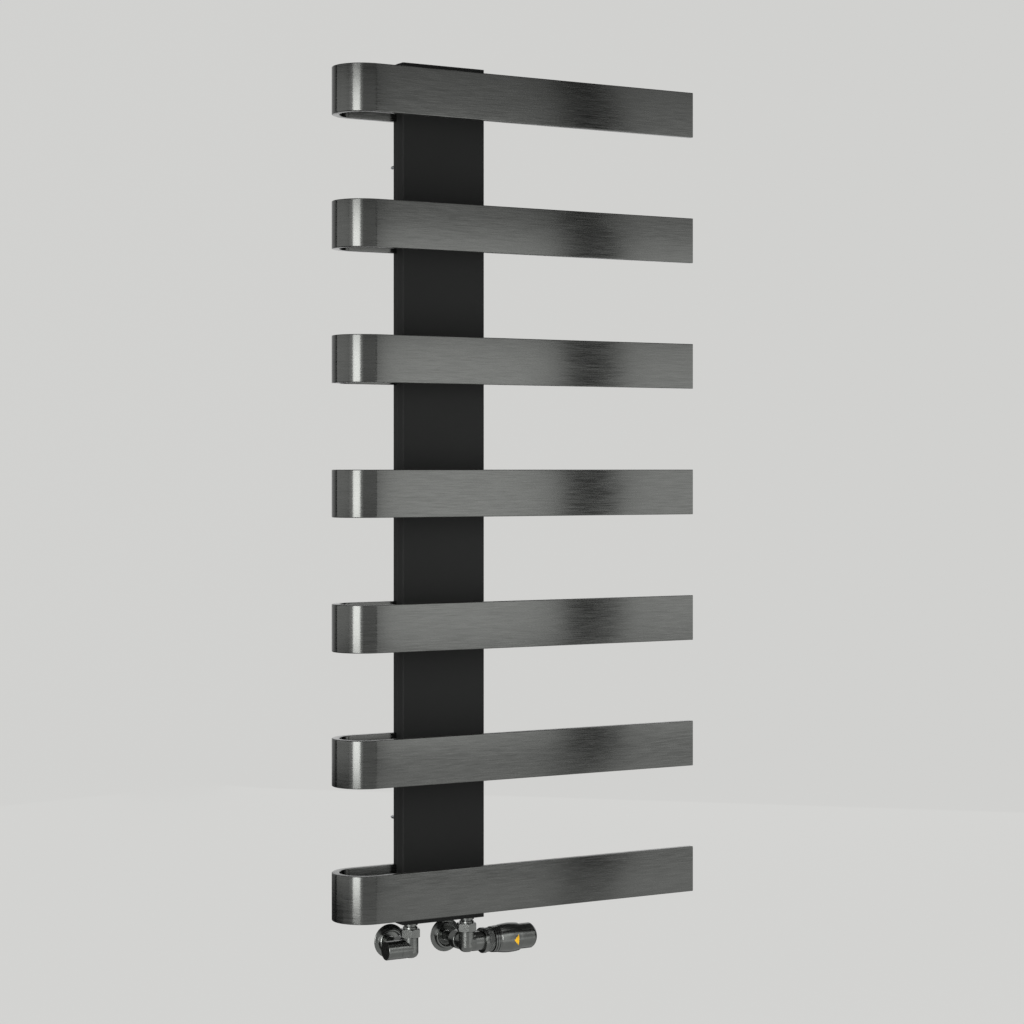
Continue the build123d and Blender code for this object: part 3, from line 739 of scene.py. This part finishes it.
@dataclass(frozen=True)
class ValveEnds:
    """Tail piece, union nut, pipe nut, pipe and rosette on one side."""

    side: str
    body: str = "radiator"
    nut: UnionNutShape = UnionNutShape()
    nut_segments: int = 180
    rosette_mm: tuple[Point, ...] = (      # (height above the wall, radius)
        (5.0, 7.8), (5.0, 14.8), (8.5, 15.8), (9.5, 16.8), (9.5, 18.0), (8.5, 19.2), (3.4, 20.4),
        (1.6, 25.1), (1.0, 25.7), (0.0, 25.7), (0.0, 24.1), (2.0, 19.6), (7.9, 18.4), (8.3, 16.8),
        (4.0, 15.9), (3.8, 15.2), (3.8, 7.8))
    rosette_segments: int = 128
    neck_mm: float = 9.05
    spigot_mm: float = 11.65
    seat_mm: float = 26.5
    plain: tuple[str, ...] = ("tail_piece", "pipe_nut", "pipe")

    def union_nut(self) -> None:
        """The hexagon nut between the valve and the column."""
        axis = middle(f"{self.side}_tail_piece")
        low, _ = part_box(f"{self.side}_union_nut")
        crossing = Vector((axis.x, axis.y, low.z - self.nut.low_mm * MM))
        bore = [(self.nut.top_mm, self.neck_mm), (self.seat_mm, self.neck_mm),
                (self.seat_mm, self.spigot_mm), (self.nut.low_mm, self.spigot_mm)]
        piece = shaped_ring(f"{self.side}_union_nut_skin", crossing, Along.PLUS_Z, self.nut.levels(),
                            bore, self.nut.radius, self.nut_segments)
        fitted(piece, self.body, Slot.PLATE, f"{self.side}_union_nut")

    def rosette(self) -> None:
        """The cover ring on the wall round the pipe."""
        low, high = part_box(f"{self.side}_rosette")
        wall = Vector(((low.x + high.x) / 2, high.y, (low.z + high.z) / 2))
        section = [(-height, radius) for height, radius in self.rosette_mm]
        piece = turned(f"{self.side}_rosette_skin", section, wall, Along.PLUS_Y, self.rosette_segments)
        fitted(piece, self.body, Slot.PLATE, f"{self.side}_rosette")

    def build(self) -> None:
        """The nut and the rosette as fine meshes, and the plain turned pieces dressed."""
        self.union_nut()
        self.rosette()
        dressed(Slot.PLATE, *[f"{self.side}_{part}" for part in self.plain])


@dataclass(frozen=True)
class Valves:
    """The two corner valves themselves."""

    body: str = "radiator"
    collar: CollarShape = CollarShape()
    collar_segments: int = 320
    thread_mm: float = 14.6
    plated: tuple[str, ...] = ("lockshield_body", "lockshield_cap", "thermostatic_body", "head_base",
                               "head_handle")
    brass: tuple[str, ...] = ("lockshield_spindle", "thermostatic_insert", "pipe_olives")

    def collar_nut(self) -> None:
        """The knurled nut that holds the thermostatic head."""
        low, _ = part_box("head_collar_nut")
        centre = middle("head_collar_nut")
        crossing = Vector((low.x - self.collar.start_mm * MM, centre.y, centre.z))
        bore = [(self.collar.end_mm, self.thread_mm), (self.collar.start_mm, self.thread_mm)]
        piece = shaped_ring("collar_nut_skin", crossing, Along.PLUS_X, self.collar.levels(), bore,
                            self.collar.radius, self.collar_segments)
        fitted(piece, self.body, Slot.PLATE, "head_collar_nut")

    def build(self) -> None:
        """The collar nut as a fine mesh, and the other pieces dressed."""
        self.collar_nut()
        dressed(Slot.PLATE, *self.plated)
        dressed(Slot.BRASS, *self.brass)
        dressed(Slot.RUBBER, "union_seals", "valve_washer")
        dressed(Slot.ZINC, "valve_pin")
        dressed(Slot.SENSOR, "sensor_capsule")
        dressed(Slot.MARK, "setting_mark")


# ---- studio -------------------------------------------------------------------------------------
RACK_MIDDLE = (-0.15, -0.1, 0.0)


@dataclass(frozen=True)
class Softbox:
    """One rectangular area light, which the camera doesn't see."""

    name: str
    place: tuple[float, float, float]
    aim: tuple[float, float, float]
    size: tuple[float, float]
    radiance: float

    def build(self) -> None:
        """Add the light, as bright per area as its radiance says."""
        data = bpy.data.lights.new(self.name, "AREA")
        data.shape = "RECTANGLE"
        data.size, data.size_y = self.size
        data.energy = self.radiance * math.pi * self.size[0] * self.size[1]
        light = bpy.data.objects.new(self.name, data)
        light.location = self.place
        light.visible_camera = False
        light.rotation_mode = "QUATERNION"
        light.rotation_quaternion = (Vector(self.aim) - Vector(self.place)).to_track_quat("-Z", "Y")
        bpy.context.scene.collection.objects.link(light)


@dataclass(frozen=True)
class Studio:
    """Floor, sweep, lights and camera."""

    floor_gap: float = 0.25
    floor_glow: float = 0.8
    floor_half_width: float = 12.0
    floor_front_y: float = -9.0
    backdrop_y: float = 5.2
    backdrop_height: float = 9.0
    sweep_radius: float = 1.6
    sweep_steps: int = 24
    world_strength: float = 0.06
    lens_mm: float = 85.73
    sensor_mm: float = 36.0
    shift_y: float = -0.0424
    yaw_deg: float = 30.44
    camera_place: tuple[float, float, float] = (-1.7703, -3.2994, 0.0366)
    # The near and far boxes stand side by side with a narrow gap, which is the dark band on each bar.
    # Each has a short core, 20 mm nearer to the rack, so that its light falls off upward and downward.
    boxes: tuple[Softbox, ...] = (
        Softbox("softbox_near_tall", (0.372, -0.795, 0.0), (0.372, 0.0, 0.0), (0.40, 2.1), 0.57),
        Softbox("softbox_near_core", (0.369, -0.775, 0.02), (0.372, 0.0, 0.02), (0.40, 0.80), 1.14),
        Softbox("softbox_far_tall", (1.045, -0.795, 0.0), (1.045, 0.0, 0.0), (0.70, 2.1), 0.72),
        Softbox("softbox_far_core", (1.038, -0.775, 0.02), (1.045, 0.0, 0.02), (0.70, 0.80), 0.84),
        # The left box is the bright streak on each bend, and its halo the soft edge of that streak.
        Softbox("softbox_left_core", (-1.85, -1.49, 0.0), RACK_MIDDLE, (1.05, 1.9), 6.3),
        Softbox("softbox_left_halo", (-2.09, -1.51, 0.0), RACK_MIDDLE, (2.3, 2.6), 1.1),
        Softbox("fill_front", (-0.4, -4.6, 0.0), RACK_MIDDLE, (4.2, 3.6), 0.6),
        Softbox("fill_floor", (0.35, -1.2, -0.93), (0.35, -1.2, 1.0), (2.6, 2.6), 0.6),
        Softbox("fill_left_back", (-2.97, 0.93, 0.0), RACK_MIDDLE, (3.4, 3.0), 0.95),
        Softbox("softbox_back", (-0.6, 3.4, 0.3), RACK_MIDDLE, (3.2, 2.8), 0.45),
        Softbox("softbox_right_back", (2.5, 2.5, 0.2), (0.1, 0.0, 0.0), (3.4, 3.0), 0.8),
        Softbox("softbox_top", (0.0, -1.0, 3.2), (0.0, -0.1, 0.0), (2.5, 2.0), 1.2),
    )

    def floor_material(self) -> bpy.types.Material:
        """Matt pale paint, shown mostly as an even glow so that no hard shadow crosses the floor.

        Returns:
            The floor's material, whose glow lights nothing else.
        """
        material, tree = new_material("pale_painted_floor")
        place = add_node(tree, "TexCoord")
        cloud = add_node(tree, "TexNoise", {"Scale": 1.5, "Detail": 2.0}, {"Vector": place.outputs["Object"]})
        paint = add_node(tree, "Mix", {"data_type": "RGBA", 6: linear("#70706e"), 7: linear("#747472")},
                         {0: cloud.outputs["Fac"]})
        shader = add_node(tree, "BsdfPrincipled", {"Roughness": 0.85}, {"Base Color": paint.outputs[2]})
        ray = add_node(tree, "LightPath")
        glow = add_node(tree, "Emission", {"Color": linear("#e6e6e4")},
                        {"Strength": ray.outputs["Is Camera Ray"]})
        share = add_node(tree, "MixShader", {0: self.floor_glow}, {1: shader.outputs[0], 2: glow.outputs[0]})
        add_node(tree, "OutputMaterial", None, {"Surface": share.outputs[0]})
        return material

    def floor(self) -> None:
        """A pale floor that sweeps up far behind the object."""
        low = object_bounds()[0].z - self.floor_gap
        bend_y = self.backdrop_y - self.sweep_radius
        profile: list[Point] = [(self.floor_front_y, low), (bend_y, low)]
        profile += arc((bend_y, low + self.sweep_radius), self.sweep_radius, -88, 0, self.sweep_steps)
        profile.append((self.backdrop_y, low + self.backdrop_height))
        bm = bmesh.new()
        sides = (-self.floor_half_width, self.floor_half_width)
        left, right = ([bm.verts.new((x, y, z)) for y, z in profile] for x in sides)
        for i in range(len(profile) - 1):
            bm.faces.new((left[i], right[i], right[i + 1], left[i + 1]))
        bmesh.ops.recalc_face_normals(bm, faces=bm.faces)
        sweep = shaded("studio_floor", bm)
        sweep.data.materials.append(self.floor_material())
        sweep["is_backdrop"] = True

    def world(self) -> None:
        """Pale to the camera, dim as a light, so that the dark metal keeps its contrast."""
        world = bpy.data.worlds.new("studio_air")
        bpy.context.scene.world = world
        world.use_nodes = True
        tree = world.node_tree
        tree.nodes.clear()
        ray = add_node(tree, "LightPath")
        pale = add_node(tree, "Background", {"Color": linear("#d4d4d2"), "Strength": 1.0})
        dim = add_node(tree, "Background", {"Color": linear("#ffffff"), "Strength": self.world_strength})
        both = add_node(tree, "MixShader", None,
                        {0: ray.outputs["Is Camera Ray"], 1: dim.outputs[0], 2: pale.outputs[0]})
        add_node(tree, "OutputWorld", None, {"Surface": both.outputs[0]})

    def camera(self) -> None:
        """A level camera to the left of the object."""
        data = bpy.data.cameras.new("camera")
        data.sensor_width = self.sensor_mm
        data.lens = self.lens_mm
        data.shift_y = self.shift_y
        data.clip_end = 60.0
        camera = bpy.data.objects.new("camera", data)
        camera.location = self.camera_place
        camera.rotation_euler = (math.pi / 2, 0.0, -math.radians(self.yaw_deg))
        bpy.context.scene.collection.objects.link(camera)
        bpy.context.scene.camera = camera

    def build(self) -> None:
        """Everything that isn't the object."""
        self.camera()
        self.floor()
        self.world()
        for box in self.boxes:
            box.build()
        bpy.context.scene.view_settings.view_transform = "Standard"
        log.info("built the studio with %d lights", len(self.boxes))


def main() -> None:
    """Build the studio and every sub-assembly."""
    logging.basicConfig(level=logging.INFO, format="%(message)s")
    Studio().build()
    for assembly in (BarStack(), Column(), WallFixings(), ValveEnds("return"), ValveEnds("supply"), Valves()):
        assembly.build()


if __name__ == "__main__":
    main()
